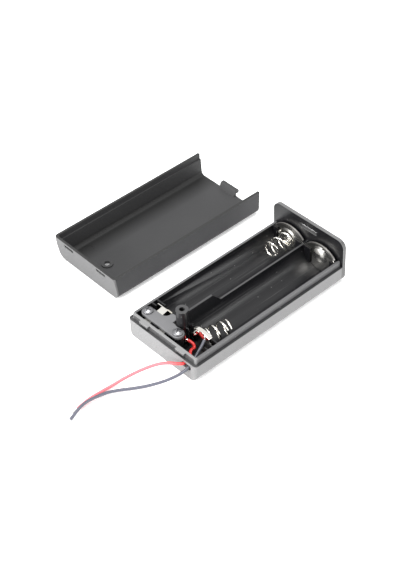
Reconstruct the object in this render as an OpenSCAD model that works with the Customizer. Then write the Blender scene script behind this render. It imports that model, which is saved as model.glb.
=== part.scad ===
// Two-cell battery box with a slide switch, a loose cover and two leads.
// Millimetres, +Z up. The origin is the centre of the base's underside, +X runs to
// the tall end wall and +Y to the side where the taken-off cover lies.

/* [Box] */
// Length of the closed box
box_l = 71.5; // [66:0.5:90]
// Height of the closed box and of the tall end wall
box_h = 17.9; // [14.5:0.1:24]
// Height of the base's outer wall, where the cover's edge seats
ledge_h = 7.2; // [6:0.1:8.6]
// Height of the thin rim that stands inside the cover
rim_h = 9.3; // [8:0.1:10.5]
// Width of the ledge outside the rim
ledge_w = 1.05; // [0.8:0.05:1.4]
// Thickness of the rim
rim_t = 0.9; // [0.7:0.05:1.4]
// Thickness of the floor and of the cover's flat
floor_t = 1.4; // [1:0.1:2]
// Thickness of the tall end wall
end_t = 1.5; // [1.2:0.1:2.2]
// Radius of the long outer edges
edge_r = 3; // [2:0.1:4]
// Radius of the upright outer corners
corner_r = 1.3; // [0.8:0.1:2]

/* [Cells] */
// Diameter of one cell
cell_d = 14.5; // [12:0.1:17.5]
// Room round a cell in its trough, on the radius
cell_clear = 0.1; // [0.05:0.05:0.4]
// Thickness of the divider between the two troughs
divider_t = 0.7; // [0.6:0.1:1.2]
// Height of the raised stretch of the divider
divider_high = 13.4; // [11:0.1:14.3]
// Thickness of the raised stretch
divider_high_t = 0.8; // [0.6:0.1:1]

/* [Contacts] */
// Thickness of the contact sheet
sheet_t = 0.3; // [0.2:0.05:0.4]
// Wire diameter of the coil springs
wire_d = 0.6; // [0.4:0.05:0.8]
// Diameter of the coil springs across the wire's centre
coil_d = 5.4; // [4.5:0.1:7]
// Length of the far coil spring, unloaded
far_coil_l = 8.9; // [8:0.1:14]
// Number of turns of the far coil spring
far_turns = 3.3; // [3:0.1:6]
// Length of the near coil spring, unloaded
near_coil_l = 8.8; // [8:0.1:14]
// Number of turns of the near coil spring
near_turns = 3.6; // [3:0.1:6]
// Lean of the near coil spring towards the wall, in degrees
near_coil_lean = 12; // [0:1:15]
// Diameter of the domes pressed into the positive contacts
dome_d = 7.2; // [3.6:0.1:7.6]
// Height of the domes
dome_h = 1.1; // [0.6:0.1:1.6]

/* [Cover] */
// Thickness of the cover's walls
cover_wall = 1.4; // [1.2:0.1:1.8]
// Lean of the cover's end wall, from its open edge to its flat
end_draft = 1.5; // [0:0.1:2]
// Lean of the cover's long walls, each side
side_draft = 0.5; // [0:0.1:1]
// Gap between the cover and what it closes on
cover_gap = 0.1; // [0.05:0.05:0.3]
// Width of the tongue that enters the tall wall
tongue_w = 8.1; // [6:0.1:11]
// Thickness of the tongue's lip
lip_t = 1.5; // [1:0.1:2]
// Width of the two latch tabs on the base's end
tab_w = 4.2; // [3:0.1:5.5]
// Thickness of the latch tabs
tab_t = 0.9; // [0.7:0.1:1.2]
// Distance of the latch tabs from the middle
tab_y = 9; // [6:0.1:11]
// Distance of the cover's screw from the box's end
boss_from_end = 9.9; // [9:0.1:11]
// Outer diameter of the screw boss
boss_d = 4.4; // [3.8:0.1:4.8]
// Bore of the screw boss
boss_bore_d = 2; // [1.5:0.1:2.4]
// Where the loose cover's middle lies along X
cover_x = 6.6; // [-10:0.1:20]
// How far the loose cover lies beyond the base's far side
cover_away = 14.1; // [2:0.1:40]
// Turn of the loose cover on the table
cover_turn = -0.6; // [-8:0.1:8]

/* [Switch] */
// Travel of the switch slider
slide_travel = 2.4; // [1.6:0.1:2.8]
// Length of the slider's knob
knob_l = 3.2; // [2.4:0.1:4]
// Width of the slider's knob
knob_w = 3; // [2:0.1:3.2]
// Distance between the two plate screws
screw_pitch = 15; // [14:0.1:17]
// Width of the retaining plate's arm
plate_w = 4.4; // [4:0.1:5]
// Thickness of the retaining plate
plate_t = 1.2; // [0.9:0.1:1.6]
// Head diameter of the plate screws
screw_head_d = 3.7; // [3:0.1:4.2]
// Shank diameter of the plate screws
screw_d = 1.6; // [1.2:0.1:2]

/* [Leads] */
// Diameter of a lead over its insulation
lead_d = 1.1; // [0.9:0.05:1.2]
// Diameter of a lead's tinned core
core_d = 0.5; // [0.4:0.05:0.8]

/* [Hidden] */
$fn = 64;

// Running and fitting gaps
seat = 0.1;              // between a contact sheet and its slot, each side
run = 0.15;              // between the slider and its channel, each side
eps = 0.01;              // overshoot of a cut past a face

// Colours
black_gloss = [0.07, 0.07, 0.075];
black_matt = [0.25, 0.25, 0.26];
nickel = [0.85, 0.83, 0.76];

// Widths that follow from the cells
trough_r = cell_d / 2 + cell_clear;
bay_y = divider_t / 2 + trough_r;                 // axis of a trough
axis_z = floor_t + trough_r;                      // height of a trough's axis
inner_y = bay_y + trough_r;                       // inner face of the long walls
rim_y = inner_y + rim_t;                          // outer face of the rim
box_w = 2 * (rim_y + ledge_w);

// Stations along X
end_x = -box_l / 2;                               // outer face of the switch end
rim_x = end_x + ledge_w;                          // outer face of the rim there
inner_x = rim_x + rim_t;                          // inner face of the switch end
tall_x = box_l / 2 - end_t;                       // inner face of the tall wall
arch_t = 0.8;                                     // arched partition before the tall wall
arch_gap = 0.85;                                  // pocket behind the partition
arch_x = tall_x - arch_gap - arch_t;              // front face of the partition
link_x = arch_x - seat - sheet_t;                 // front face of the link plate
rib_t = 0.5;                                      // ribs that hold the contact sheets
far_plate_x = inner_x + 8.65;                     // back face of the far positive contact
near_plate_x = inner_x + 9.05;                    // back face of the near spring plate
back_rib_x = inner_x + 7.2;                       // ribs behind both of them
front_rib_x = near_plate_x + sheet_t + seat;      // ribs in front of both
boss_x = end_x + boss_from_end;

// Sheet contacts
sheet_low = floor_t + 0.3;                        // lower edge of the contact sheets
sheet_half = trough_r - 1.65;                     // half the width of a contact sheet
sheet_top = rim_h - 0.2;
near_coil_y = -bay_y - 1.4;                       // foot of the near spring
near_coil_z = 8.1;
far_coil_y = bay_y - 0.1;                         // axis of the far spring
far_coil_z = 7.3;
coil_closed = 0.6;                                // turns lying on the plate
coil_last = 0.7;                                  // turns closing the free end
coil_steps = 20;                                  // stretches in one turn
dome_z = axis_z + 0.1;                            // centre of the link plate's dome
pad_r = 4.1;                                      // pad pressed out under the far spring
pad_h = 0.45;
arch_r = 9.3;                                     // arcs of the link plate's flange
arch_y = 7.65;
arch_z = box_h - 14.7;
link_half = inner_y - 0.4;                        // half the width of the link plate
near_arc_r = 9;                                   // arched top of the near spring plate
near_half = 4.1;                                  // half the width of its upper stretch
near_mid = -bay_y - 1.35;                         // middle of its upper stretch
near_crown = rim_h + 2.4;                         // height of its crown
near_low_y = -inner_y + 1.1;                      // its lower stretch, from here
near_high_y = -2.6;                               // to here
flange_w = 1.2;                                   // flange folded from its arched top

// Tongue of the cover
lip_low = 2.5;                                    // its lip, below the closed box's top
tongue_gap = 0.15;                                // round it in its slot

// Switch
switch_x = inner_x + 3.55;                        // centre line of slider and screws
far_screw_y = inner_y - plate_w / 2 - 0.2;
near_screw_y = far_screw_y - screw_pitch;
switch_y = (far_screw_y + near_screw_y) / 2;      // middle of the slider's travel
lobe_y = switch_y - 0.8;                          // lobe of the retaining plate
lobe_half_w = 1.75;
strip_z = 7.95;                                   // underside of the switch's contact strips
strip_top = strip_z + sheet_t;
plate_top = strip_top + plate_t;
post_r = 2;                                       // posts that take the plate screws
post_low_r = 1.6;                                 // their waist, clear of the slider
flange_z = floor_t + 0.1;                         // underside of the slider's flange
flange_t = 1.2;
flange_half_w = boss_x - boss_d / 2 - switch_x - 0.2; // clear of the screw boss
window_half_l = (knob_l + slide_travel) / 2 + 0.2;
flange_half_l = window_half_l + slide_travel / 2 + 0.1;
slider_y = switch_y - slide_travel / 2;           // middle of the slider at rest, off
bridge_half = 2.2;                                // contact points from the bridge's middle
saddle_top = 5.7;

// Lead exit in the switch end
exit_y = -12.25;
exit_z = 4.95;
exit_w = 4.5;
exit_h = 2.2;

// Routes of the two leads, from the solder joint to the bare end. The red one makes a
// loop inside the box, and further out runs beside the black one's far side.
red_route = [[-27.45, -3.9, 5.25], [-27.15, -4.9, 5], [-27, -6, 4.7], [-27.4, -7.1, 4.5],
             [-28.3, -7.8, 4.6], [-29.4, -8.1, 5.1], [-30.3, -8.6, 5.6], [-31.1, -9.3, 5.8],
             [-32, -10.1, 5.7], [-33.2, -10.8, 5.4], [-35.75, -11.2, 5.35],
             [-37.7, -9.8, 5.6],
             [-39.3, -7.6, 5.4], [-41.3, -5.3, 4.8], [-43.8, -3.4, 4], [-46.7, -1.7, 3],
             [-50, -0.2, 2], [-53.5, 0.9, 1.2], [-57, 1.5, 0.7], [-60, 1.9, 0.56],
             [-62.8, 2.1, 0.56], [-65.5, 2.2, 0.56], [-68.3, 2, 0.56], [-71, 1.6, 0.56]];
black_route = [[-25.9, -10.75, 9.05], [-26.7, -11.05, 8.6], [-27.5, -11.3, 8.1], [-28.7, -11.6, 7.5],
               [-30, -11.9, 6.9], [-31.4, -12.3, 6.3], [-33.1, -12.9, 5.6], [-35.75, -13.3, 4.8],
               [-38, -13, 4.1], [-40.2, -12.3, 3.4],
               [-42.5, -11.1, 2.6], [-44.8, -9.7, 1.9], [-47.3, -7.9, 1.2], [-50, -6, 0.75],
               [-53, -3.9, 0.6], [-56.3, -1.7, 0.65], [-59.6, -0.1, 0.85], [-62.8, 0.6, 1.1],
               [-65.6, 1, 1.35], [-68.3, 1.1, 1.45], [-71, 0.7, 1.35], [-73.5, 0.1, 0.95],
               [-75.8, -0.5, 0.56]];
core_stub = 0.45;                                 // bare core between insulation and solder
core_tip = 2.5;                                   // bare core at the far end
solder_r = 0.8;
tail_x = switch_x + 2.35;                         // tail of the red lead's terminal
tail_y = -boss_d / 2 - 0.45;                       // clear of the screw boss
red_solder_at = [tail_x, tail_y, 5.4];
black_solder_at = [near_plate_x, near_mid - 1.2, near_crown - 2.2];

// ---------- sweeps ----------

function unit(v) = v / norm(v);
function tangent(p, i) = unit(p[min(i + 1, len(p) - 1)] - p[max(i - 1, 0)]);
// A ring of points about p, across t, with u as the first axis of the ring
function ring(p, t, u, r, sides) = let (a = unit(u - (u * t) * t), b = cross(t, a))
    [for (k = [0:sides - 1]) p + r * (cos(360 * k / sides) * a + sin(360 * k / sides) * b)];
function side_faces(rings, sides) = [for (i = [0:rings - 2], k = [0:sides - 1])
    let (n = (k + 1) % sides) [i * sides + k, (i + 1) * sides + k, (i + 1) * sides + n, i * sides + n]];
function cap_faces(rings, sides) = [[for (k = [0:sides - 1]) k],
    [for (k = [0:sides - 1]) (rings - 1) * sides + sides - 1 - k]];

module tube(route, d, sides = 8) {
    points = [for (i = [0:len(route) - 1])
        each ring(route[i], tangent(route, i), [0, 0, 1], d / 2, sides)];
    polyhedron(points, concat(side_faces(len(route), sides), cap_faces(len(route), sides)));
}

// Coil along +X from the origin: a closed stretch on the plate, open turns, a closing stretch
function coil_pitch(l, turns) = (l - wire_d - wire_d * (coil_closed + coil_last))
    / (turns - coil_closed - coil_last);
function coil_reach(t, l, turns) = t < coil_closed ? t * wire_d
    : t < turns - coil_last ? coil_closed * wire_d + (t - coil_closed) * coil_pitch(l, turns)
    : l - wire_d - (turns - t) * wire_d;

module coil_spring(l, turns, start) {
    r = coil_d / 2;
    last = round(turns * coil_steps);
    line = [for (i = [0:last]) let (t = i / coil_steps, a = 360 * t + start)
        [wire_d / 2 + coil_reach(t, l, turns), r * cos(a), r * sin(a)]];
    points = [for (i = [0:last]) each ring(line[i], tangent(line, i),
        [0, line[i][1], line[i][2]], wire_d / 2, 8)];
    polyhedron(points, concat(side_faces(last + 1, 8), cap_faces(last + 1, 8)));
}

// ---------- outlines ----------

// Rectangle of width w from height z0 to z1, its lower and upper corners rounded
module section(w, z0, z1, r_low, r_high) {
    translate([-w / 2, z0 + r_low]) square([w, z1 - z0 - r_low - r_high]);
    if (r_low > 0) {
        translate([-w / 2 + r_low, z0]) square([w - 2 * r_low, r_low + eps]);
        for (s = [-1, 1]) translate([s * (w / 2 - r_low), z0 + r_low]) circle(r_low);
    }
    if (r_high > 0) {
        translate([-w / 2 + r_high, z1 - r_high - eps]) square([w - 2 * r_high, r_high + eps]);
        for (s = [-1, 1]) translate([s * (w / 2 - r_high), z1 - r_high]) circle(r_high);
    }
}

// Outline of width w0 at height z0 that narrows to w1 at z1, with its upper corners rounded
module tapered_section(w0, w1, z0, z1, r) {
    lean = atan((w0 - w1) / 2 / (z1 - z0));
    zc = z1 - r;
    xc = w0 / 2 - (zc - z0) * tan(lean) - r / cos(lean);
    right = [[w0 / 2, z0], [xc + r * cos(lean), zc + r * sin(lean)], [xc, z1]];
    polygon(concat(right, [for (k = [2:-1:0]) [-right[k][0], right[k][1]]]));
    for (s = [-1, 1]) translate([s * xc, zc]) circle(r);
}

// Extrude an outline drawn in Y and Z from x0 to x1
module along_x(x0, x1) {
    translate([x0, 0, 0]) rotate([90, 0, 90]) linear_extrude(x1 - x0) children();
}

// Extrude an outline drawn in X and Z, centred on y
module along_y(y, w) {
    translate([0, y + w / 2, 0]) rotate([90, 0, 0]) linear_extrude(w) children();
}

// Block between two corners
module block(a, b) {
    translate(a) cube(b - a);
}

// Plan outline from x0 to x1 with rounded corners at x0
module plan(x0, x1, half, r) {
    translate([x0 + r, -half]) square([x1 - x0 - r, 2 * half]);
    translate([x0, -half + r]) square([r + eps, 2 * half - 2 * r]);
    for (s = [-1, 1]) translate([x0 + r, s * (half - r)]) circle(r);
}

// ---------- base ----------

module base_outside() {
    intersection() {
        along_x(end_x, box_l / 2) section(box_w, 0, ledge_h, edge_r, 0);
        linear_extrude(ledge_h) plan(end_x, box_l / 2, box_w / 2, corner_r);
    }
    along_x(tall_x, box_l / 2) section(box_w, 0, box_h, edge_r, edge_r);
    // Thin rim, solid here and hollowed with the base
    translate([0, 0, ledge_h - eps])
        linear_extrude(rim_h - ledge_h + eps) plan(rim_x, tall_x + eps, rim_y, 1);
    // Latch tabs
    for (s = [-1, 1])
        block([end_x + 0.05, s * tab_y - tab_w / 2, rim_h - tab_t],
              [rim_x + eps, s * tab_y + tab_w / 2, rim_h]);
}

module trough(side, x0) {
    translate([x0, side * bay_y, axis_z]) rotate([0, 90, 0]) cylinder(r = trough_r, h = arch_x - x0);
    block([x0, side * bay_y - trough_r, axis_z], [arch_x, side * bay_y + trough_r, box_h + 1]);
}

module base_hollows() {
    high = box_h + 1;
    trough(-1, near_plate_x + sheet_t + seat);
    trough(1, far_plate_x + sheet_t + seat);
    // Switch and lead compartment
    block([inner_x, -inner_y, floor_t], [far_plate_x - seat, inner_y, high]);
    block([far_plate_x - seat - eps, -inner_y, floor_t], [near_plate_x - seat, -divider_t / 2, high]);
    // Slots of the contact sheets
    block([far_plate_x - seat - eps, boss_d / 2 + 0.2, sheet_low - seat],
          [far_plate_x + sheet_t + seat, inner_y, high]);
    block([near_plate_x - seat - eps, near_low_y - seat, sheet_low - seat],
          [near_plate_x + sheet_t + seat, near_high_y + seat, high]);
    block([near_plate_x - seat - eps, -inner_y, axis_z - 1.5],
          [near_plate_x + sheet_t + seat, near_mid, high]);
    block([link_x - seat, -link_half - seat, sheet_low - seat], [arch_x, link_half + seat, high]);
    // Pocket behind the arched partition
    block([tall_x - arch_gap, -inner_y, floor_t + 1], [tall_x, inner_y, high]);
    // Lead exit
    for (s = [-1, 1])
        translate([end_x - 1, exit_y + s * (exit_w - exit_h) / 2, exit_z])
            rotate([0, 90, 0]) cylinder(d = exit_h, h = 4);
    block([end_x - 1, exit_y - (exit_w - exit_h) / 2, exit_z - exit_h / 2],
          [end_x + 3, exit_y + (exit_w - exit_h) / 2, exit_z + exit_h / 2]);
    // Slot of the cover's tongue
    block([tall_x - 1, -tongue_w / 2 - tongue_gap, box_h - lip_low - lip_t - tongue_gap],
          [box_l / 2 + 1, tongue_w / 2 + tongue_gap, box_h - lip_low + tongue_gap]);
    // Finger recess and window of the slider
    block([switch_x - flange_half_w - 0.6, switch_y - window_half_l - 1, -1],
          [switch_x + flange_half_w + 0.6, switch_y + window_half_l + 1, 0.5]);
    block([switch_x - knob_w / 2 - run, switch_y - window_half_l, -1],
          [switch_x + knob_w / 2 + run, switch_y + window_half_l, floor_t + 1]);
}

// Two arcs side by side, joined below, that shape the partition and the link plate
module twin_arch(inset, half, low) {
    intersection() {
        union() {
            for (s = [-1, 1]) translate([s * arch_y, arch_z]) circle(arch_r - inset);
            translate([-half, low]) square([2 * half, rim_h - 0.2 - inset - low]);
        }
        translate([-half, low]) square([2 * half, box_h]);
    }
}

module arched_partition() {
    along_x(arch_x, arch_x + arch_t) twin_arch(sheet_t + seat, inner_y + 0.1, floor_t - 0.5);
    // Web from the partition's valley to the tall wall
    block([arch_x + arch_t - eps, -0.4, floor_t], [tall_x + eps, 0.4, rim_h + 0.3]);
}

// Divider: low along the cells, then a ramp up to the raised stretch and the screw boss
module divider() {
    low_x = end_x + 27.2;
    high_x = end_x + 23.3;
    along_y(0, divider_high_t) polygon([[boss_x, floor_t], [low_x, floor_t], [low_x, rim_h],
        [high_x, divider_high], [boss_x, divider_high]]);
}

// Pairs of ribs that make the slots of the contact sheets
module sheet_ribs() {
    low = floor_t - 0.2;
    // At the far wall, with a low pair by the screw boss
    block([back_rib_x, inner_y - 2.2, low], [back_rib_x + rib_t, inner_y + 0.1, rim_h]);
    block([front_rib_x, inner_y - 4.3, low], [front_rib_x + rib_t, inner_y + 0.1, rim_h]);
    for (x = [far_plate_x - seat - rib_t, front_rib_x])
        block([x, 0, low], [x + rib_t, boss_d / 2 + 1.3, sheet_top - 1]);
    // At the near wall and by the divider
    for (x = [back_rib_x, front_rib_x]) {
        block([x, -inner_y - 0.1, low], [x + rib_t, -inner_y + 2.4, rim_h]);
        block([x, -3.5, low], [x + rib_t, 0, rim_h]);
    }
    block([back_rib_x - 2.1, -inner_y - 0.1, low], [back_rib_x - 2.1 + rib_t, -inner_y + 1.3, rim_h]);
    // Cross rib at the divider's end and one rib at each long wall, before the link plate
    link_front = link_x - seat - rib_t;
    block([link_front, -3.6, low], [link_front + rib_t, 3.6, rim_h - 0.1]);
    for (s = [-1, 1])
        block([link_front, s * (inner_y - 1) - 1.1, low],
              [link_front + rib_t, s * (inner_y - 1) + 1.1, rim_h - 0.1]);
}

module screw_post(y, top) {
    translate([switch_x, y, floor_t - 0.2]) cylinder(r = post_low_r, h = top - floor_t + 0.2);
    translate([switch_x, y, saddle_top]) cylinder(r = post_r, h = top - saddle_top);
}

// Rails beside the slider; the contact strips rest on them
module switch_rails() {
    rail_low = switch_x - flange_half_w - run;
    rail_high = switch_x + flange_half_w + run;
    block([inner_x - 0.1, switch_y - 4.4, floor_t - 0.2], [rail_low, switch_y + 5.6, strip_z]);
    block([rail_high, switch_y - 1, floor_t - 0.2], [rail_high + 0.9, switch_y + 5.6, strip_z]);
    block([switch_x - 0.4, far_screw_y + 1, floor_t - 0.2], [switch_x + 0.4, inner_y + 0.1, strip_z - 1]);
}

module base_case() {
    color(black_gloss) difference() {
        union() {
            difference() {
                base_outside();
                base_hollows();
            }
            difference() {
                union() {
                    arched_partition();
                    sheet_ribs();
                }
                block([link_x - seat, -bay_y - sheet_half - seat, sheet_low - seat],
                      [arch_x, bay_y + sheet_half + seat, box_h]);
            }
            divider();
            switch_rails();
            screw_post(far_screw_y, strip_top);
            screw_post(near_screw_y, strip_z);
            translate([boss_x, 0, floor_t - 0.2])
                cylinder(d = boss_d, h = box_h - floor_t - 0.7 - floor_t + 0.2);
        }
        // Bore of the cover's screw and pilot holes of the plate screws
        translate([boss_x, 0, 6]) cylinder(d = boss_bore_d, h = box_h);
        for (y = [near_screw_y, far_screw_y])
            translate([switch_x, y, floor_t + 0.4]) cylinder(d = screw_d + 0.1, h = box_h);
    }
}

// ---------- cover ----------

// The cover as it sits on the closed box
module closed_cover() {
    x1 = tall_x - cover_gap;
    low = ledge_h + cover_gap;
    lap_t = ledge_w - cover_gap;                  // wall left outside the rim
    lap_top = rim_h + 0.2;
    difference() {
        union() {
            difference() {
                cover_shape(x1, 0, low);
                cover_shape(x1 + 1, cover_wall, low - eps);
                translate([0, 0, low - 1]) linear_extrude(lap_top - low + 1)
                    plan(end_x + lap_t, x1 + 1, box_w / 2 - lap_t, 1);
            }
            // Ring round the screw hole
            translate([boss_x, 0, box_h - floor_t - 0.5]) cylinder(d = boss_d, h = 0.6);
            tongue(x1);
        }
        // Screw hole with a countersink outside
        translate([boss_x, 0, low]) cylinder(d = boss_bore_d + 0.3, h = box_h);
        translate([boss_x, 0, box_h - 0.8]) cylinder(d1 = boss_bore_d + 0.3, d2 = boss_d, h = 0.8 + eps);
        // Slots of the latch tabs
        for (s = [-1, 1])
            block([end_x - 1, s * tab_y - tab_w / 2 - 0.4, rim_h - tab_t - 0.05],
                  [end_x + cover_wall + 1, s * tab_y + tab_w / 2 + 0.4, rim_h + 0.35]);
        // Round marks of two ejector pins on the inside
        for (s = [-1, 1]) translate([boss_x, s * 11, box_h - floor_t - 1]) cylinder(d = 5, h = 1.12);
    }
}

// Outside of the cover, or its hollow when inset by the wall
module cover_shape(x1, inset, low) {
    high = inset > 0 ? box_h - floor_t : box_h;
    half = box_w / 2 - inset;
    x0 = end_x + inset;
    intersection() {
        along_x(x0, x1) tapered_section(2 * half, 2 * (half - side_draft), low, high, edge_r - inset);
        translate([0, 0, low]) linear_extrude(box_h) plan(x0, x1, half, corner_r);
        along_y(0, box_w + 2) polygon([[x0, low], [x0 + end_draft, high], [x1 + 1, high], [x1 + 1, low]]);
    }
}

// Tongue that hooks into the tall wall; h is measured down from the cover's outside
module tongue(x1) {
    reach = x1 + cover_gap + end_t;
    lip_high = lip_low + lip_t;
    outline = [[x1 - 1.3, 0.6], [x1 - 1.3, floor_t], [x1 - 0.6, lip_high - 0.7], [x1, lip_high],
               [reach - 0.5, lip_high], [reach - 0.1, lip_high - 0.4], [reach - 0.1, lip_low + 0.3],
               [reach - 0.4, lip_low], [x1, lip_low], [x1, 0.6]];
    along_y(0, tongue_w) polygon([for (p = outline) [p[0], box_h - p[1]]]);
}

module cover() {
    color(black_matt) translate([cover_x, box_w + cover_away, box_h]) rotate([0, 0, cover_turn])
        rotate([180, 0, 0]) closed_cover();
}

// ---------- switch ----------

module switch_plate() {
    lobe_end = boss_x + 0.8;
    lobe_corner = 1;
    fillet = 1.9;
    arm_edge = switch_x + plate_w / 2;
    color(black_matt) translate([0, 0, strip_top]) linear_extrude(plate_t) difference() {
        union() {
            translate([switch_x - plate_w / 2, near_screw_y]) square([plate_w, screw_pitch]);
            for (y = [near_screw_y, far_screw_y]) translate([switch_x, y]) circle(plate_w / 2);
            // Lobe towards the cells, with rounded corners
            translate([switch_x, lobe_y - lobe_half_w])
                square([lobe_end - lobe_corner - switch_x, 2 * lobe_half_w]);
            translate([switch_x, lobe_y - lobe_half_w + lobe_corner])
                square([lobe_end - switch_x, 2 * (lobe_half_w - lobe_corner)]);
            for (s = [-1, 1]) translate([lobe_end - lobe_corner, lobe_y + s * (lobe_half_w - lobe_corner)])
                circle(lobe_corner);
            // Hollow fillet where the lobe leaves the arm
            difference() {
                translate([arm_edge - eps, lobe_y + lobe_half_w - eps]) square(fillet);
                translate([arm_edge + fillet, lobe_y + lobe_half_w + fillet]) circle(fillet);
            }
        }
        // Clear of the screw boss
        translate([boss_x, 0]) circle(boss_d / 2 + 0.3);
        for (y = [near_screw_y, far_screw_y]) translate([switch_x, y]) circle(screw_d / 2 + 0.3);
    }
}

module plate_screw() {
    cylinder(d = screw_d, h = 6.2);
    // Domed head with a cross recess
    translate([0, 0, 6]) difference() {
        rotate_extrude() intersection() {
            translate([0, -1.6]) circle(r = 2.8);
            square([screw_head_d / 2, 1.3]);
        }
        for (a = [0, 90]) rotate([0, 0, a + 20]) block([-1.1, -0.22, 0.65], [1.1, 0.22, 2]);
    }
}

module plate_screws() {
    color("silver") for (y = [near_screw_y, far_screw_y])
        translate([switch_x, y, plate_top - 6]) plate_screw();
}

module switch_slider() {
    top = flange_z + flange_t;
    color(black_gloss) translate([switch_x, slider_y, 0]) {
        difference() {
            block([-knob_w / 2, -knob_l / 2, 0.25], [knob_w / 2, knob_l / 2, flange_z + eps]);
            // Grip grooves across the knob
            for (k = [-1, 0, 1])
                block([-knob_w, k * knob_l / 4 - 0.2, 0], [knob_w, k * knob_l / 4 + 0.2, 0.6]);
        }
        block([-flange_half_w, -flange_half_l, flange_z], [flange_half_w, flange_half_l, top]);
        block([-1.5, -2.4, top - eps], [1.5, 2.4, saddle_top]);
        // Pips that keep the bridge in place
        for (s = [-1, 1]) translate([s * 0.7, 0, saddle_top - eps]) cylinder(d = 0.6, h = 0.4);
    }
}

// Springy strip that the slider carries from contact to contact
module switch_bridge() {
    rise = strip_z - 0.1 - sheet_t - saddle_top;
    reach = 2.9;
    step = reach / 12;
    heights = [for (k = [-12:12]) let (y = k * step) [y, rise / 2 * (1 - cos(180 * y / bridge_half))]];
    outline = concat([for (p = heights) [p[0], p[1]]],
                     [for (k = [24:-1:0]) [heights[k][0], heights[k][1] + sheet_t]]);
    color("goldenrod") translate([switch_x, slider_y, saddle_top]) difference() {
        translate([-1.2, 0, 0]) rotate([90, 0, 90]) linear_extrude(2.4) polygon(outline);
        for (s = [-1, 1]) translate([s * 0.7, 0, -1]) cylinder(d = 0.7, h = 3);
    }
}

// Fixed contact of the switch that the red lead is soldered to
module red_terminal() {
    tail_w = 1.8;
    color(nickel) {
        translate([0, 0, strip_z]) linear_extrude(sheet_t) difference() {
            union() {
                translate([inner_x + 0.4, switch_y - 3.6])
                    square([2 * (switch_x - inner_x) - 0.2, 2.8]);
                translate([switch_x - 1.2, tail_y]) square([2.4, switch_y - 3.5 - tail_y]);
                translate([switch_x, near_screw_y]) circle(post_r - 0.1);
                translate([switch_x, tail_y - tail_w / 2]) square([tail_x - switch_x, tail_w]);
            }
            translate([switch_x, near_screw_y]) circle(screw_d / 2 + 0.2);
            translate([boss_x, 0]) circle(boss_d / 2 + 0.3);
        }
        // Tail bent down behind the screw post
        block([tail_x - sheet_t, tail_y - tail_w / 2, 4.4], [tail_x, tail_y + tail_w / 2, strip_z + eps]);
    }
}

// ---------- cell contacts ----------

// Dome pressed out of a sheet, from x = 0 towards +X or -X
module dome(y, z, d, h, dir) {
    r = (d * d / 4 + h * h) / (2 * h);
    translate([0, y, z]) rotate([0, dir * 90, 0]) rotate_extrude() intersection() {
        translate([0, h - r]) circle(r);
        square([d / 2, h]);
    }
}

module far_positive_contact() {
    low_y = lobe_y + lobe_half_w + 0.3;
    high_y = inner_y - 0.6;
    crown = rim_h - 0.35;
    corner = 1.2;
    tab_y0 = bay_y + 0.9;
    tab_w0 = 2.9;
    color(nickel) {
        translate([far_plate_x, 0, 0]) {
            along_x(0, sheet_t) {
                translate([low_y, sheet_low + 3]) square([high_y - low_y, crown - corner - sheet_low - 3]);
                translate([low_y, crown - corner - eps]) square([high_y - corner - low_y, corner + eps]);
                translate([high_y - corner, crown - corner]) circle(corner);
                translate([low_y, sheet_low]) square([bay_y + sheet_half - low_y, 3 + eps]);
            }
            translate([sheet_t - eps, 0, 0]) dome(bay_y, dome_z - 2, 5.2, dome_h, 1);
        }
        // Tab folded back and down to the switch
        difference() {
            along_y(tab_y0 + tab_w0 / 2, tab_w0)
                polygon([[far_plate_x + eps, crown - 0.15], [far_plate_x - 2.6, strip_top],
                         [inner_x + 0.6, strip_top], [inner_x + 0.6, strip_z],
                         [far_plate_x - 2.5, strip_z], [far_plate_x + eps, crown - 0.15 - sheet_t]]);
            translate([switch_x, far_screw_y, floor_t]) cylinder(r = post_r + seat, h = box_h);
        }
    }
}

module near_spring_plate() {
    wide_top = sheet_low + 4.5;
    high_y = near_mid + near_half;
    color(nickel) difference() {
        union() {
            along_x(near_plate_x, near_plate_x + sheet_t) {
                translate([near_low_y, sheet_low]) square([near_high_y - near_low_y, wide_top - sheet_low]);
                near_plate_top(0, wide_top);
            }
            // Flange folded forward along the arched top and down the wall side
            along_x(near_plate_x - flange_w, near_plate_x + eps) difference() {
                near_plate_top(0, wide_top);
                near_plate_top(sheet_t, 0);
                translate([near_mid - near_half - 1, 0]) square([2 * near_half + 2, near_crown - 4.3]);
                translate([high_y - 0.5, 0]) square([1, box_h]);
            }
            // Hook at the inner side
            block([near_plate_x - 0.9, high_y - sheet_t, near_crown - 4.8],
                  [near_plate_x + eps, high_y, near_crown - 3.2]);
            block([near_plate_x - 0.9, high_y - 1.2, near_crown - 4.1],
                  [near_plate_x - 0.9 + sheet_t, high_y, near_crown - 3.6]);
        }
        // Eye that the black lead is soldered into
        translate([near_plate_x - 1, black_solder_at[1], black_solder_at[2]])
            rotate([0, 90, 0]) cylinder(d = 1, h = 2);
    }
}

// Upper stretch of the near spring plate above a height, or its outline inset by t
module near_plate_top(t, low) {
    intersection() {
        translate([near_mid - near_half + t, low - eps])
            square([2 * near_half - 2 * t, near_crown - low]);
        translate([near_mid - 0.2, near_crown - near_arc_r]) circle(near_arc_r - t);
    }
}

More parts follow.
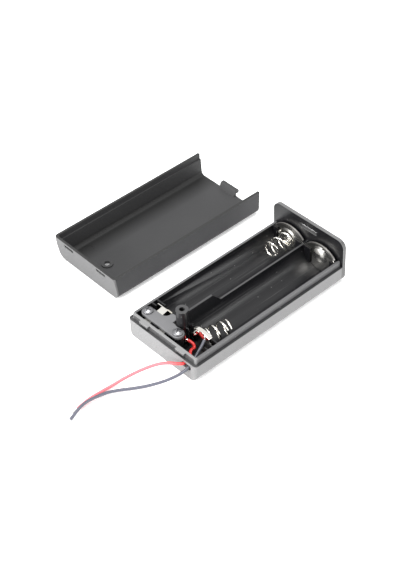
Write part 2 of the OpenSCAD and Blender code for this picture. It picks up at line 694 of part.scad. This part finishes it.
module link_plate() {
    half = link_half;
    color(nickel) {
        along_x(link_x, link_x + sheet_t) twin_arch(0, half, sheet_low);
        // Flange folded back over the partition's arcs
        along_x(link_x, arch_x + arch_t) difference() {
            twin_arch(0, half, sheet_low);
            twin_arch(sheet_t, half, sheet_low - 1);
            translate([-half - 1, 0]) square([2 * half + 2, rim_h + 0.3]);
        }
        translate([link_x + eps, 0, 0]) {
            dome(-arch_y - 0.3, dome_z, dome_d, dome_h, -1);
            // Pad with a boss that centres the far spring
            translate([0, far_coil_y, far_coil_z]) rotate([0, -90, 0])
                cylinder(r1 = pad_r, r2 = pad_r - 0.6, h = pad_h);
            translate([-pad_h, 0, 0]) dome(far_coil_y, far_coil_z, coil_d - wire_d - 0.4, 0.7, -1);
            // Clip at the pad's edge
            block([-1.1, far_coil_y + pad_r - 0.4, far_coil_z + 0.3],
                  [0, far_coil_y + pad_r + 0.1, far_coil_z + 1.3]);
        }
    }
}

module near_spring() {
    color(nickel) translate([near_plate_x + sheet_t, near_coil_y, near_coil_z])
        rotate([0, 0, -near_coil_lean]) translate([coil_d / 2 * sin(near_coil_lean), 0, 0])
            coil_spring(near_coil_l, near_turns, -60);
}

module far_spring() {
    color(nickel) translate([link_x - pad_h + eps, far_coil_y, far_coil_z])
        rotate([0, 180, 0]) coil_spring(far_coil_l, far_turns, 48);
}

// ---------- leads ----------

module red_lead() {
    color("crimson") tube(red_route, lead_d);
}

module black_lead() {
    color([0.1, 0.1, 0.12]) tube(black_route, lead_d);
}

// Bare core showing at both ends of a lead
module cores(route) {
    last = len(route) - 1;
    first_dir = unit(route[0] - route[1]);
    last_dir = unit(route[last] - route[last - 1]);
    tube([route[0], route[0] + core_stub * first_dir], core_d);
    tip = route[last] + 0.02 * last_dir;
    tube([tip, tip + core_tip * [last_dir[0], last_dir[1], 0]], core_d);
}

module red_core() {
    color("silver") cores(red_route);
}

module black_core() {
    color("silver") cores(black_route);
}

// Half ball of solder on a sheet, towards +X or -X
module solder(at, dir) {
    color("silver") translate(at) rotate([0, dir * 90, 0]) intersection() {
        sphere(solder_r);
        cylinder(r = 2 * solder_r, h = solder_r);
    }
}

module red_solder() {
    solder(red_solder_at, 1);
}

module black_solder() {
    solder(black_solder_at, -1);
}

base_case();
cover();
switch_plate();
plate_screws();
switch_slider();
switch_bridge();
red_terminal();
far_positive_contact();
near_spring_plate();
near_spring();
link_plate();
far_spring();
red_lead();
black_lead();
red_core();
black_core();
red_solder();
black_solder();
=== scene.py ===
import math

import bpy
import bmesh
from mathutils import Matrix, Vector


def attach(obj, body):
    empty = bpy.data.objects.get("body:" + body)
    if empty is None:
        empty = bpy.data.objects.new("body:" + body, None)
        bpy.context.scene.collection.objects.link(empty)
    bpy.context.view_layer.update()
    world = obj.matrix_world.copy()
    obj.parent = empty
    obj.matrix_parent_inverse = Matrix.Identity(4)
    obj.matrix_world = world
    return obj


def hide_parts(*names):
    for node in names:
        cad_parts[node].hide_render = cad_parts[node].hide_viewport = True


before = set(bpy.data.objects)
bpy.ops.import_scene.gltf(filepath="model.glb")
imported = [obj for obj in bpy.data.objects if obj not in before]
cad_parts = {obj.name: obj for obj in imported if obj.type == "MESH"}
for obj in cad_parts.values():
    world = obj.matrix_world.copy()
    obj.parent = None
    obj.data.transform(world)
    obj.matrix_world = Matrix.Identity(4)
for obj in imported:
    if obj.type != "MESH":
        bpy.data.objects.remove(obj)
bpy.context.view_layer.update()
scene = bpy.context.scene
MM = 0.001


# ---------- camera ----------

def place_camera():
    """An 88 mm lens looking down on the open box from its lead end."""
    azimuth, elevation, roll, distance = -0.71419, 0.73723, -0.048171, 0.488294
    aside, above = -0.013534, 0.007395
    back = Vector((math.sin(azimuth) * math.cos(elevation),
                   -math.cos(azimuth) * math.cos(elevation), math.sin(elevation)))
    level = Vector((math.cos(azimuth), math.sin(azimuth), 0))
    upright = back.cross(level)
    right = math.cos(roll) * level + math.sin(roll) * upright
    up = -math.sin(roll) * level + math.cos(roll) * upright
    data = bpy.data.cameras.new("camera")
    data.sensor_fit, data.sensor_width, data.lens = "AUTO", 36, 88.42
    data.clip_start, data.clip_end = 0.01, 20
    camera = bpy.data.objects.new("camera", data)
    scene.collection.objects.link(camera)
    place = back * distance + right * aside + up * above
    camera.matrix_world = Matrix((
        (right.x, up.x, back.x, place.x), (right.y, up.y, back.y, place.y),
        (right.z, up.z, back.z, place.z), (0, 0, 0, 1)))
    scene.camera = camera


place_camera()

# ---------- leads ----------

LEAD_D = 1.1 * MM
RED_ROUTE = [
    (-27.45, -3.9, 5.25), (-27.15, -4.9, 5), (-27, -6, 4.7), (-27.4, -7.1, 4.5),
    (-28.3, -7.8, 4.6), (-29.4, -8.1, 5.1), (-30.3, -8.6, 5.6), (-31.1, -9.3, 5.8),
    (-32, -10.1, 5.7), (-33.2, -10.8, 5.4), (-35.75, -11.2, 5.35), (-37.7, -9.8, 5.6),
    (-39.3, -7.6, 5.4), (-41.3, -5.3, 4.8), (-43.8, -3.4, 4), (-46.7, -1.7, 3),
    (-50, -0.2, 2), (-53.5, 0.9, 1.2), (-57, 1.5, 0.7), (-60, 1.9, 0.56),
    (-62.8, 2.1, 0.56), (-65.5, 2.2, 0.56), (-68.3, 2, 0.56), (-71, 1.6, 0.56)]
BLACK_ROUTE = [
    (-25.9, -10.75, 9.05), (-26.7, -11.05, 8.6), (-27.5, -11.3, 8.1), (-28.7, -11.6, 7.5),
    (-30, -11.9, 6.9), (-31.4, -12.3, 6.3), (-33.1, -12.9, 5.6), (-35.75, -13.3, 4.8),
    (-38, -13, 4.1), (-40.2, -12.3, 3.4), (-42.5, -11.1, 2.6), (-44.8, -9.7, 1.9),
    (-47.3, -7.9, 1.2), (-50, -6, 0.75), (-53, -3.9, 0.6), (-56.3, -1.7, 0.65),
    (-59.6, -0.1, 0.85), (-62.8, 0.6, 1.1), (-65.6, 1, 1.35), (-68.3, 1.1, 1.45),
    (-71, 0.7, 1.35), (-73.5, 0.1, 0.95), (-75.8, -0.5, 0.56)]


def metres(route):
    return [Vector(p) * MM for p in route]


def smooth_line(points, steps=6):
    """Catmull-Rom line through the points."""
    line = []
    for i in range(len(points) - 1):
        a, b = points[i], points[i + 1]
        before = points[i - 1] if i else a * 2 - b
        after = points[i + 2] if i + 2 < len(points) else b * 2 - a
        for k in range(steps):
            t = k / steps
            line.append(0.5 * ((2 * a) + (b - before) * t
                               + (2 * before - 5 * a + 4 * b - after) * t * t
                               + (3 * a - before - 3 * b + after) * t ** 3))
    line.append(points[-1])
    return line


def line_length(line):
    return sum((b - a).length for a, b in zip(line, line[1:]))


def insulation_piece(name, line, node):
    """Round sleeve of a lead along a line of points, as a curve of one open spline."""
    data = bpy.data.curves.new(name, "CURVE")
    data.dimensions = "3D"
    data.bevel_depth = 1
    data.bevel_resolution = 3
    data.use_fill_caps = True
    spline = data.splines.new("POLY")
    spline.points.add(len(line) - 1)
    for point, place in zip(spline.points, line):
        point.co, point.radius = (*place, 1), LEAD_D / 2
    spline.use_smooth = True
    piece = bpy.data.objects.new(name, data)
    scene.collection.objects.link(piece)
    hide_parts(node)
    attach(piece, "base")
    return piece


red_line = smooth_line(metres(RED_ROUTE))
black_line = smooth_line(metres(BLACK_ROUTE))
red_insulation = insulation_piece("red_insulation", red_line, "red_lead")
black_insulation = insulation_piece("black_insulation", black_line, "black_lead")
line_length(red_line)
line_length(black_line)

# ---------- materials ----------


class Value:
    """A socket that takes + - * in Python and adds the Math nodes."""

    def __init__(self, shader, socket):
        self.shader, self.socket = shader, socket

    def _math(self, operation, *others, clamp=False):
        return self.shader.node("ShaderNodeMath", {"operation": operation, "use_clamp": clamp},
                                [self, *others])

    def __add__(self, other):
        return self._math("ADD", other)

    __radd__ = __add__

    def __mul__(self, other):
        return self._math("MULTIPLY", other)

    __rmul__ = __mul__

    def __sub__(self, other):
        return self._math("SUBTRACT", other)

    def __rsub__(self, other):
        return self.shader.node("ShaderNodeMath", {"operation": "SUBTRACT"}, [other, self])

    def above(self, edge, soft):
        """0 under the edge, 1 over it, with a soft step between."""
        return self.shader.node("ShaderNodeMapRange", {"clamp": True},
                                [self, edge - soft, edge + soft, 0.0, 1.0])

    def over(self, edge, soft):
        """The same along an axis, in millimetres."""
        return self.above(edge * MM, soft * MM)

    def under(self, edge, soft):
        return 1 - self.over(edge, soft)

    def both(self, other):
        return self._math("MULTIPLY", other, clamp=True)

    def either(self, other):
        return self._math("MAXIMUM", other)

    def size(self):
        return self._math("ABSOLUTE")


class Shader:
    """One procedural material and its nodes."""

    def __init__(self, name):
        self.material = bpy.data.materials.new(name)
        self.material.use_nodes = True
        self.tree = self.material.node_tree
        self.tree.nodes.clear()
        self.output = self.tree.nodes.new("ShaderNodeOutputMaterial")
        place = self.tree.nodes.new("ShaderNodeTexCoord")
        self.place = Value(self, place.outputs["Object"])

    def node(self, kind, settings, values, output=0):
        made = self.tree.nodes.new(kind)
        for key, value in settings.items():
            setattr(made, key, value)
        pairs = values.items() if isinstance(values, dict) else enumerate(values)
        for key, value in pairs:
            if isinstance(value, Value):
                self.tree.links.new(value.socket, made.inputs[key])
            else:
                made.inputs[key].default_value = value
        return Value(self, made.outputs[output])

    def axes(self):
        made = self.tree.nodes.new("ShaderNodeSeparateXYZ")
        self.tree.links.new(self.place.socket, made.inputs[0])
        return [Value(self, made.outputs[i]) for i in range(3)]

    def stretched(self, x, y, z):
        """Object coordinates times a factor on each axis."""
        return self.node("ShaderNodeVectorMath", {"operation": "MULTIPLY"},
                         [self.place, (x, y, z)])

    def noise(self, scale, detail, rough=0.5, vector=None):
        return self.node("ShaderNodeTexNoise", {"noise_dimensions": "3D"},
                         {"Vector": vector or self.place, "Scale": scale, "Detail": detail,
                          "Roughness": rough})

    def specks(self, scale, fall, edge, patches):
        """Small dots, one to a cell, only where the patches are."""
        away = self.node("ShaderNodeTexVoronoi", {"feature": "F1"},
                         {"Vector": self.place, "Scale": scale, "Randomness": 1.0})
        return (1 - away * fall).above(edge, 0.1).both(patches)

    def mix(self, factor, a, b):
        made = self.tree.nodes.new("ShaderNodeMix")
        made.data_type = "RGBA"
        for key, value in ((0, factor), (6, a), (7, b)):
            if isinstance(value, Value):
                self.tree.links.new(value.socket, made.inputs[key])
            else:
                made.inputs[key].default_value = value if key == 0 else (*value, 1)
        return Value(self, made.outputs[2])

    def bump(self, height, distance, strength):
        return self.node("ShaderNodeBump", {},
                         {"Height": height, "Distance": distance, "Strength": strength})

    def finish(self, colour, roughness, specular=0.5, **sockets):
        surface = self.tree.nodes.new("ShaderNodeBsdfPrincipled")
        for key, value in {"Base Color": colour, "Roughness": roughness,
                           "Specular IOR Level": specular, **sockets}.items():
            if isinstance(value, Value):
                self.tree.links.new(value.socket, surface.inputs[key])
            elif isinstance(value, tuple):
                surface.inputs[key].default_value = (*value, 1)
            else:
                surface.inputs[key].default_value = value
        self.tree.links.new(surface.outputs[0], self.output.inputs[0])
        return self.material


def grey(level, blue=0.001):
    return level, level, level + blue


# Where the base changes tone, in mm: the low end's inner face, the tall wall's side and inner
# face along X, and the rim's top along Z
LOW_END, TALL_SIDE, TALL_FACE, RIM_TOP = -33.7, 34.2, 34.35, 9.2


def base_plastic():
    s = Shader("base_plastic")
    x, y, z = s.axes()
    wide = y.size()
    # Deep gloss inside the rim and on the tall wall's inner face
    before_tall = x.under(TALL_FACE, 0.08)
    under_rim = wide.under(15.15, 0.08).both(z.under(RIM_TOP, 0.08)).both(
        x.over(LOW_END - 0.2, 0.1)).both(before_tall)
    over_rim = wide.under(15, 0.06).both(x.over(LOW_END, 0.1)).both(before_tall)
    wall = x.over(34, 0.1).both(before_tall).both(z.under(17.75, 0.08))
    inside = under_rim.either(over_rim).either(wall).both(z.over(0.5, 0.2))
    # Tops of the divider and the screw boss are painted paler, a painted light on tops that face
    # up
    middle = wide.under(0.5, 0.05)
    low_top = middle.both(x.over(-8.8, 0.2)).both(z.over(RIM_TOP, 0.05)).both(x.under(32.5, 0.2))
    well_before_tall = x.under(30, 1)
    painted_top_light = z.over(15.7, 0.05).both(well_before_tall).either(
        middle.both(z.over(13.3, 0.05)).both(well_before_tall)).either(low_top)
    # The step under the cover's edge is painted dark, a painted shade, and the rim's side above
    # it painted paler, a painted light
    beside_tall = x.under(TALL_SIDE, 0.05)
    step = z.over(7, 0.1).both(z.under(9.1, 0.1)).both(
        wide.over(15.9, 0.05).either(x.under(-34.66, 0.05))).both(beside_tall)
    painted_rim_side_light = z.over(7.3, 0.1).both(z.under(RIM_TOP, 0.1)).both(
        wide.over(15.85, 0.03)).both(wide.under(16, 0.03)).both(beside_tall)
    # The rim's top is painted darker, a painted shade
    painted_rim_top_shade = z.over(RIM_TOP, 0.05).both(z.under(9.5, 0.05)).both(x.under(34, 0.1)).both(
        x.over(LOW_END, 0.2))
    # The low end's top over the rim is painted lighter, a painted light
    painted_end_top_light = x.under(LOW_END, 0.1).both(z.over(RIM_TOP, 0.1))
    grain = s.noise(5200, 2.0)
    sparks = s.noise(3000, 4.0, 0.7)
    clouds = s.noise(120, 4.0)
    lines = s.noise(900, 3.0, vector=s.stretched(0.03, 1, 1))
    scores = s.noise(2600, 2.0, vector=s.stretched(0.012, 1, 1)).above(0.66, 0.03)
    dust = s.specks(520, 6.0, 0.62, s.noise(260, 2.0).above(0.54, 0.04))
    outer = s.mix(sparks.above(0.5, 0.22), grey(0.105), grey(0.195))
    outer = s.mix(painted_rim_top_shade, outer, grey(0.085, 0.002))
    # The tall wall's outer end face is painted darker as painted shade, and its top is painted a
    # flat tone of its own for the light that falls on it
    outer = s.mix(x.over(34.5, 0.1) * 0.7, outer, grey(0.035, 0))
    outer = s.mix(z.over(17.6, 0.1), outer, grey(0.115))
    outer = s.mix(painted_end_top_light * 0.4, outer, grey(0.25, 0))
    outer = s.mix(step, outer, s.mix(x.over(-34.5, 0.1), grey(0.038), grey(0.018)))
    outer = s.mix(painted_rim_side_light, outer, grey(0.085, 0.002))
    # Inside the rim the plastic is a near-black deep gloss, painted darker towards the tall wall
    # as painted shade
    colour = s.mix(inside, outer, s.mix(x.over(-12, 30), grey(0.009), grey(0.004)))
    colour = s.mix(scores.both(inside) * 0.3, colour, grey(0.09, 0))
    colour = s.mix(painted_top_light, colour, grey(0.045))
    colour = s.mix(dust * 0.6, colour, grey(0.42, -0.01))
    rough = 0.36 - inside * 0.14 + clouds * 0.08 + lines * inside * 0.12 + dust * 0.3
    height = grain * 0.35 + lines * inside * 0.5 + sparks * 0.3
    return s.finish(colour, rough, Normal=s.bump(height, 0.01 * MM, 0.7))


def cover_plastic():
    s = Shader("cover_plastic")
    x, y, z = s.axes()
    grain = s.noise(3800, 2.5, 0.6)
    clouds = s.noise(90, 4.0)
    dust = s.specks(380, 9.0, 0.66, s.noise(200, 2.0).above(0.62, 0.04))
    # The cover lies a little turned, and its walls lean
    turn, side_lean, end_lean = 0.0105, 0.0472, 0.1415
    across = y + x * turn
    # Painted shade darkens the near outer face, the strip along the far wall inside and the top
    # edges; the outer end face is painted lighter, a painted light
    painted_near_face_shade = (across + z * side_lean).under(32.33, 0.1)
    edge = z.over(10.4, 0.1)
    painted_end_face_light = (x + z * end_lean).under(-27.21, 0.1).both(1 - edge)
    painted_far_shade = across.over(57.5, 3.5) * (0.95 - z.over(2.8, 0.6) * 0.6)
    colour = s.mix(clouds * 0.6, grey(0.030), grey(0.044))
    colour = s.mix(painted_near_face_shade, colour, grey(0.018, 0.002))
    colour = s.mix(painted_far_shade, colour, grey(0.003, 0))
    colour = s.mix(edge, colour, grey(0.018, 0))
    colour = s.mix(painted_end_face_light, colour, grey(0.085))
    colour = s.mix(dust * 0.35, colour, grey(0.3, -0.01))
    return s.finish(colour, 0.52 + clouds * 0.12 + dust * 0.2, 0.4,
                    Normal=s.bump(grain, 0.02 * MM, 0.8))


def grained(name, dark, light, rough, strength):
    """Fine-grained plastic of the switch."""
    s = Shader(name)
    grain = s.noise(4200, 2.5, 0.6)
    clouds = s.noise(300, 3.0)
    return s.finish(s.mix(clouds, dark, light), rough + clouds * 0.1, 0.4,
                    Normal=s.bump(grain, 0.02 * MM, strength))


def plated(name, light, dark, rough, spread, lines=(1, 1, 1), waves=0.4, stain=None):
    """Plated sheet or wire: faint rolling lines, dull patches and a few pits."""
    s = Shader(name)
    x, _, z = s.axes()
    rolled = s.noise(2600, 3.0, vector=s.stretched(*lines))
    patches = s.noise(420, 4.0, 0.6)
    broad = s.noise(160, 2.0)
    pits = s.specks(1500, 6.0, 0.7, patches.above(0.6, 0.05))
    colour = s.mix(patches.above(0.55, 0.25), light, dark)
    colour = s.mix(pits * 0.5, colour, tuple(c * 0.3 for c in dark))
    if stain:
        place, radius, tint = stain
        offset = s.node("ShaderNodeVectorMath", {"operation": "DISTANCE"},
                        [s.place, place], 1)
        near = (1 - offset.above(radius, radius * 0.5)) * (0.4 + patches)
        colour = s.mix(near.both(0.9), colour, tint)
    # The link plate's folded flange is rougher, and between its pale rounded edges the flat band
    # is painted dark, a painted shade
    flange = x.over(31.15, 0.03).both(z.over(9.6, 0.1))
    between = flange.both(x.over(31.7, 0.1)).both(x.under(32.7, 0.1))
    colour = s.mix(between * 0.85, colour, (0.05, 0.05, 0.05))
    rough = rough + patches * spread + rolled * spread * 0.4 + pits * 0.2 + flange * 0.22
    return s.finish(colour, rough, Metallic=1.0,
                    Normal=s.bump(rolled * 0.15 + broad * waves, 0.02 * MM, 0.5))


def insulation(name, light, dark, paler_outside):
    """Soft sleeve, paler where it lies outside the box."""
    s = Shader(name)
    x, _, _ = s.axes()
    grain = s.noise(2400, 2.0)
    smudge = s.noise(500, 3.0)
    colour = s.mix(smudge, light, dark)
    colour = s.mix(x.under(-38.5, 3) * (0.8 + smudge * 0.2), colour, paler_outside)
    return s.finish(colour, 0.34 + smudge * 0.14, Normal=s.bump(grain, 0.01 * MM, 0.5))


NICKEL = dict(light=(0.97, 0.955, 0.915), dark=(0.90, 0.87, 0.80), rough=0.09, spread=0.05)
# Brown flux round the black lead's solder: middle, radius and colour
FLUX = ((-0.0247, -0.01025, 0.0095), 1.3 * MM, (0.50, 0.24, 0.09))
MATERIALS = {
    "base_plastic": base_plastic(),
    "cover_plastic": cover_plastic(),
    "plate_plastic": grained("plate_plastic", (0.112, 0.112, 0.115), (0.140, 0.140, 0.145),
                             0.5, 0.7),
    "slider_plastic": grained("slider_plastic", (0.018, 0.018, 0.02), (0.03, 0.03, 0.032),
                              0.45, 0.6),
    "screw_metal": plated("screw_metal", (0.30, 0.30, 0.31), (0.18, 0.18, 0.19), 0.27, 0.16),
    "bridge_metal": plated("bridge_metal", (0.78, 0.55, 0.28), (0.62, 0.42, 0.2), 0.22, 0.14),
    "contact_metal": plated("contact_metal", **NICKEL, lines=(1, 0.06, 1), stain=FLUX),
    "spring_wire": plated("spring_wire", **NICKEL, waves=0.1),
    "red_insulation": insulation("red_insulation", (0.60, 0.025, 0.022), (0.48, 0.018, 0.018),
                                 (0.70, 0.150, 0.175)),
    "black_insulation": insulation("black_insulation", (0.055, 0.057, 0.072),
                                   (0.075, 0.078, 0.095), (0.075, 0.078, 0.105)),
    "tinned_core": plated("tinned_core", (0.72, 0.71, 0.69), (0.55, 0.52, 0.48), 0.25, 0.15),
    "solder": plated("solder", (0.68, 0.68, 0.67), (0.5, 0.5, 0.5), 0.2, 0.2),
}
NODE_SLOTS = {
    "base_case": "base_plastic", "cover": "cover_plastic", "switch_plate": "plate_plastic",
    "plate_screws": "screw_metal", "switch_slider": "slider_plastic",
    "switch_bridge": "bridge_metal", "red_terminal": "contact_metal",
    "far_positive_contact": "contact_metal", "near_spring_plate": "contact_metal",
    "near_spring": "spring_wire", "link_plate": "contact_metal", "far_spring": "spring_wire",
    "red_lead": "red_insulation", "black_lead": "black_insulation",
    "red_core": "tinned_core", "black_core": "tinned_core", "red_solder": "solder",
    "black_solder": "solder",
}


def dress(piece, slot):
    piece.data.materials.clear()
    piece.data.materials.append(MATERIALS[slot])


for node, slot in NODE_SLOTS.items():
    dress(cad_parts[node], slot)
dress(red_insulation, "red_insulation")
dress(black_insulation, "black_insulation")

# ---------- springs ----------

WIRE_D, COIL_D, WIRE_SIDES = 0.6 * MM, 5.4 * MM, 12
# Turns that lie closed at the plate and at the free end
COIL_CLOSED, COIL_LAST = 0.6, 0.7


def wire_tree(slot):
    """Node tree that lays a round wire along the edges of a line."""
    tree = bpy.data.node_groups.new(slot + "_wire", "GeometryNodeTree")
    face = tree.interface
    face.new_socket("Line", in_out="INPUT", socket_type="NodeSocketGeometry")
    across = face.new_socket("Wire diameter", in_out="INPUT", socket_type="NodeSocketFloat")
    sides = face.new_socket("Sides", in_out="INPUT", socket_type="NodeSocketInt")
    face.new_socket("Wire", in_out="OUTPUT", socket_type="NodeSocketGeometry")
    across.default_value, sides.default_value = WIRE_D, WIRE_SIDES
    made = {}
    for key, kind in (("into", "NodeGroupInput"), ("curve", "GeometryNodeMeshToCurve"),
                      ("half", "ShaderNodeMath"), ("circle", "GeometryNodeCurvePrimitiveCircle"),
                      ("wire", "GeometryNodeCurveToMesh"), ("soft", "GeometryNodeSetShadeSmooth"),
                      ("real", "GeometryNodeRealizeInstances"),
                      ("metal", "GeometryNodeSetMaterial"),
                      ("out", "NodeGroupOutput")):
        made[key] = tree.nodes.new(kind)
    made["half"].operation = "MULTIPLY"
    made["half"].inputs[1].default_value = 0.5
    made["wire"].inputs["Fill Caps"].default_value = True
    made["metal"].inputs["Material"].default_value = MATERIALS[slot]
    for source, out, target, into in (
            ("into", "Line", "curve", "Mesh"), ("into", "Wire diameter", "half", 0),
            ("into", "Sides", "circle", "Resolution"), ("half", 0, "circle", "Radius"),
            ("curve", 0, "wire", "Curve"), ("circle", 0, "wire", "Profile Curve"),
            ("wire", 0, "soft", "Geometry"), ("soft", 0, "real", "Geometry"),
            ("real", 0, "metal", "Geometry"), ("metal", 0, "out", 0)):
        tree.links.new(made[source].outputs[out], made[target].inputs[into])
    return tree, across.identifier, sides.identifier


def plain(made, slot):
    """Freeze a piece's modifiers into a plain mesh of the same name."""
    bpy.context.view_layer.update()
    seen = made.evaluated_get(bpy.context.evaluated_depsgraph_get())
    mesh = bpy.data.meshes.new_from_object(seen)
    made.modifiers.clear()
    made.data = mesh
    dress(made, slot)


def register(made, node):
    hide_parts(node)
    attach(made, "base")


def wire(name, line, slot, node):
    """A wire along a line of points, in place of a CAD node."""
    mesh = bpy.data.meshes.new(name)
    mesh.from_pydata([tuple(p) for p in line], [(i, i + 1) for i in range(len(line) - 1)], [])
    made = bpy.data.objects.new(name, mesh)
    scene.collection.objects.link(made)
    tree, across, count = wire_tree(slot)
    layer = made.modifiers.new("wire", "NODES")
    layer.node_group = tree
    layer[across], layer[count] = WIRE_D, WIRE_SIDES
    plain(made, slot)
    register(made, node)


def coil_line(length, turns, start, steps=56):
    """Centre line of a coil along +X: closed on its plate, open, then closed at its free end."""
    closed = COIL_CLOSED + COIL_LAST
    pitch = (length - WIRE_D - WIRE_D * closed) / (turns - closed)
    line = []
    for i in range(round(turns * steps) + 1):
        t = i / steps
        if t < COIL_CLOSED:
            reach = t * WIRE_D
        elif t < turns - COIL_LAST:
            reach = COIL_CLOSED * WIRE_D + (t - COIL_CLOSED) * pitch
        else:
            reach = length - WIRE_D - (turns - t) * WIRE_D
        angle = math.radians(360 * t + start)
        line.append(Vector((WIRE_D / 2 + reach, COIL_D / 2 * math.cos(angle),
                            COIL_D / 2 * math.sin(angle))))
    return line


LEAN = math.radians(12)
near_foot = (Matrix.Translation(Vector((-24.45, -9.1, 8.1)) * MM) @ Matrix.Rotation(-LEAN, 4, "Z")
             @ Matrix.Translation((COIL_D / 2 * math.sin(LEAN), 0, 0)))
far_foot = (Matrix.Translation(Vector((31.76, 7.6, 7.3)) * MM)
            @ Matrix.Rotation(math.pi, 4, "Y"))
wire("near_coil", [near_foot @ p for p in coil_line(8.8 * MM, 3.6, -60)], "spring_wire",
     "near_spring")
wire("far_coil", [far_foot @ p for p in coil_line(8.9 * MM, 3.3, 48)], "spring_wire",
     "far_spring")

# ---------- moulded and folded edges ----------

# Degrees: faces flatter than this are joined, edges sharper than this are rounded, and edges
# sharper than this keep their crease once rounded
JOINED, ROUNDED, CREASED = 0.06, 32, 48


def softened(name, node, slot, width, segments=2):
    """The CAD node's shape with its sharp edges rounded by a small radius."""
    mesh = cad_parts[node].data.copy()
    work = bmesh.new()
    work.from_mesh(mesh)
    bmesh.ops.remove_doubles(work, verts=work.verts, dist=2e-7)
    bmesh.ops.dissolve_limit(work, angle_limit=math.radians(JOINED), verts=work.verts,
                             edges=work.edges)
    work.to_mesh(mesh)
    work.free()
    made = bpy.data.objects.new(name, mesh)
    scene.collection.objects.link(made)
    mesh.shade_smooth()
    mesh.set_sharp_from_angle(angle=math.radians(ROUNDED))
    edge = made.modifiers.new("edge", "BEVEL")
    edge.width, edge.segments, edge.limit_method = width, segments, "ANGLE"
    edge.angle_limit = math.radians(ROUNDED)
    edge.use_clamp_overlap = True
    plain(made, slot)
    made.data.shade_smooth()
    made.data.set_sharp_from_angle(angle=math.radians(CREASED))
    flat = made.modifiers.new("flat", "WEIGHTED_NORMAL")
    flat.mode, flat.weight, flat.keep_sharp = "FACE_AREA", 80, True
    plain(made, slot)
    register(made, node)


softened("base_shell", "base_case", "base_plastic", 0.12 * MM)
softened("cover_shell", "cover", "cover_plastic", 0.14 * MM)
softened("plate_shell", "switch_plate", "plate_plastic", 0.22 * MM)
softened("screw_heads", "plate_screws", "screw_metal", 0.1 * MM)
for name, node in (("far_contact_sheet", "far_positive_contact"),
                   ("near_contact_sheet", "near_spring_plate"), ("link_sheet", "link_plate")):
    softened(name, node, "contact_metal", 0.13 * MM, segments=3)

# ---------- floor, sky and lights ----------

# Floor's own glow, the sky's light, and each softbox: place, size and watts
FLOOR_GLOW = 0.3
SKY = 0.91
SOFTBOXES = {
    "left": ((-0.75, 0.10, 0.22), 0.5, 9.4),
    "front": ((0.25, -0.80, 0.30), 0.5, 3.4),
    "top": ((-0.10, 0.00, 0.90), 0.5, 8.2),
}


def floor():
    mesh = bpy.data.meshes.new("floor")
    half, low = 6.0, -0.2 * MM
    mesh.from_pydata([(-half, -half, low), (half, -half, low), (half, half, low),
                      (-half, half, low)], [], [(0, 1, 2, 3)])
    made = bpy.data.objects.new("floor", mesh)
    scene.collection.objects.link(made)
    s = Shader("floor")
    s.finish((0.9, 0.9, 0.9), 0.6,
             **{"Emission Color": (1.0, 1.0, 1.0), "Emission Strength": FLOOR_GLOW})
    made.data.materials.append(s.material)


def sky():
    world = bpy.data.worlds.new("sky")
    world.use_nodes = True
    world.node_tree.nodes["Background"].inputs[0].default_value = (1, 1, 1, 1)
    world.node_tree.nodes["Background"].inputs[1].default_value = SKY
    scene.world = world


def softbox(name, place, size, watts):
    """A round softbox that faces the box."""
    light = bpy.data.lights.new(name, "AREA")
    light.shape, light.size, light.energy = "DISK", size, watts
    made = bpy.data.objects.new(name, light)
    scene.collection.objects.link(made)
    made.location = place
    made.rotation_euler = Vector(place).to_track_quat("Z", "Y").to_euler()


floor()
sky()
for name, (place, size, watts) in SOFTBOXES.items():
    softbox(name, place, size, watts)
scene.view_settings.view_transform = "Standard"
